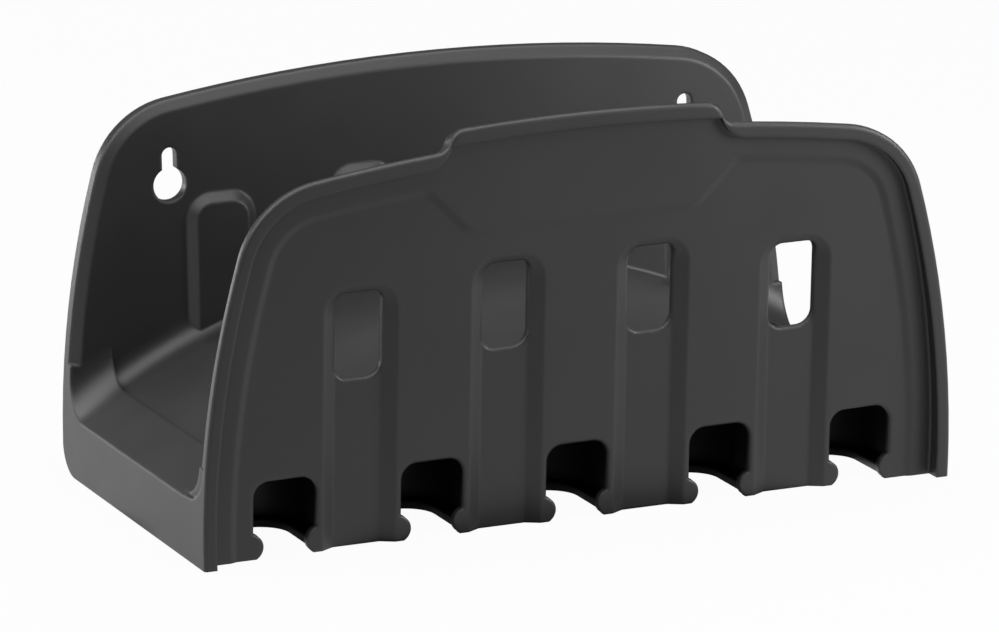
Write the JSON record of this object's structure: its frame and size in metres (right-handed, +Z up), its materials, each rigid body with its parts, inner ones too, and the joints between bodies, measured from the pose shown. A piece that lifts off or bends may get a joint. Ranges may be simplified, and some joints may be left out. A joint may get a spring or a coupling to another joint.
{
  "type": "hose hanger",
  "caption": "Black plastic wall hanger for a garden hose: an arched saddle between two walls, with doorways along the front wall's foot that hold hose fittings.",
  "frame": {"origin": "under the middle of the part, at the level of its foot", "axes": "+X along the width, +Y towards the wall it hangs on, +Z up"},
  "size_m": [0.2694, 0.143, 0.141],
  "materials": {
    "black_plastic": "fine matt grain"
  },
  "bodies": {
    "root": {"hose_hanger": "black_plastic"}
  },
  "joints": []
}
